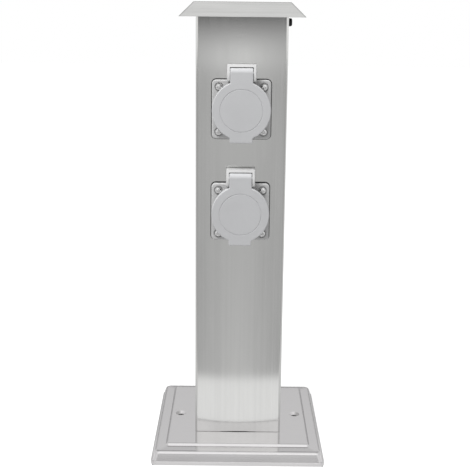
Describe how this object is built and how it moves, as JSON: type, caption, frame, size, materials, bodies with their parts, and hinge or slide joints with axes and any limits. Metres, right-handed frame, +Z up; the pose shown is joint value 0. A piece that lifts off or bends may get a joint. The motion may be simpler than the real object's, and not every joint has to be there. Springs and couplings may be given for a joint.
{
  "type": "garden socket post",
  "caption": "Square stainless garden socket post with a pressed base, a folded roof cap and power sockets behind sprung flap lids.",
  "frame": {"origin": "middle of the base's print on the floor", "axes": "+Z up along the column, -Y towards the sockets, +X to the right seen from the front"},
  "size_m": [0.1536, 0.1536, 0.4],
  "materials": {
    "column_steel": "stainless sheet, brushed along the column",
    "base_steel": "pressed stainless sheet, fine satin brushing",
    "cap_steel": "folded stainless sheet, brushed across the slope",
    "collar_steel": "plain stainless sheet, mill finish",
    "black_screw": "black oxide, slight sheen",
    "housing_plastic": "light grey moulding, fine spark texture",
    "lid_plastic": "light grey moulding, fine spark texture",
    "carrier_plastic": "mid grey insulating moulding",
    "block_plastic": "white nylon",
    "gasket_rubber": "black foam rubber",
    "seal_rubber": "black soft rubber",
    "grommet_rubber": "black rubber, slight sheen",
    "contact_brass": "bare brass",
    "clip_brass": "tinned brass, dull",
    "flange_screw_steel": "stainless pan-head screws",
    "pin_steel": "ground stainless pin",
    "spring_steel": "drawn stainless wire",
    "zinc_plate": "bright zinc plate",
    "zinc_bolts": "bright zinc plate",
    "zinc_nuts": "bright zinc plate",
    "zinc_screws": "bright zinc plate",
    "brown_pvc": "brown insulation",
    "blue_pvc": "blue insulation",
    "green_pvc": "green and yellow insulation"
  },
  "bodies": {
    "post": {"base_plate": "base_steel", "cable_grommet": "grommet_rubber", "foot_brackets": "zinc_plate", "foot_bolts": "zinc_bolts", "foot_nuts": "zinc_nuts", "column": "column_steel", "cap": "cap_steel", "cap_collar": "collar_steel", "cap_screw": "black_screw", "cap_washer": "black_screw", "cap_nut": "zinc_nuts", "upper_gasket": "gasket_rubber", "upper_housing": "housing_plastic", "upper_carrier": "carrier_plastic", "upper_contact_sleeves": "contact_brass", "upper_earth_clip": "clip_brass", "upper_terminal_screws": "zinc_screws", "upper_flange_screws": "flange_screw_steel", "upper_flange_nuts": "zinc_nuts", "upper_hinge_pin": "pin_steel", "upper_hinge_spring": "spring_steel", "lower_gasket": "gasket_rubber", "lower_housing": "housing_plastic", "lower_carrier": "carrier_plastic", "lower_contact_sleeves": "contact_brass", "lower_earth_clip": "clip_brass", "lower_terminal_screws": "zinc_screws", "lower_flange_screws": "flange_screw_steel", "lower_flange_nuts": "zinc_nuts", "lower_hinge_pin": "pin_steel", "lower_hinge_spring": "spring_steel", "terminal_block": "block_plastic", "block_clamps": "contact_brass", "block_screws": "zinc_screws", "block_bracket": "zinc_plate", "block_fixings": "zinc_screws", "block_nuts": "zinc_nuts", "live_wires": "brown_pvc", "neutral_wires": "blue_pvc", "earth_wires": "green_pvc", "earth_lug": "clip_brass"},
    "upper_flap": {"upper_lid": "lid_plastic", "upper_lid_seal": "seal_rubber"},
    "lower_flap": {"lower_lid": "lid_plastic", "lower_lid_seal": "seal_rubber"}
  },
  "joints": [
    {"name": "upper_lid_hinge", "type": "hinge", "parent": "post", "child": "upper_flap", "pos_m": [0, -0.0515, 0.3422], "axis": [-1, 0, 0], "range_deg": [0, 110], "stiffness_Nm_per_rad": 0.02, "springref_deg": -45.84},
    {"name": "lower_lid_hinge", "type": "hinge", "parent": "post", "child": "lower_flap", "pos_m": [0, -0.0515, 0.2536], "axis": [-1, 0, 0], "range_deg": [0, 110], "stiffness_Nm_per_rad": 0.02, "springref_deg": -45.84}
  ]
}
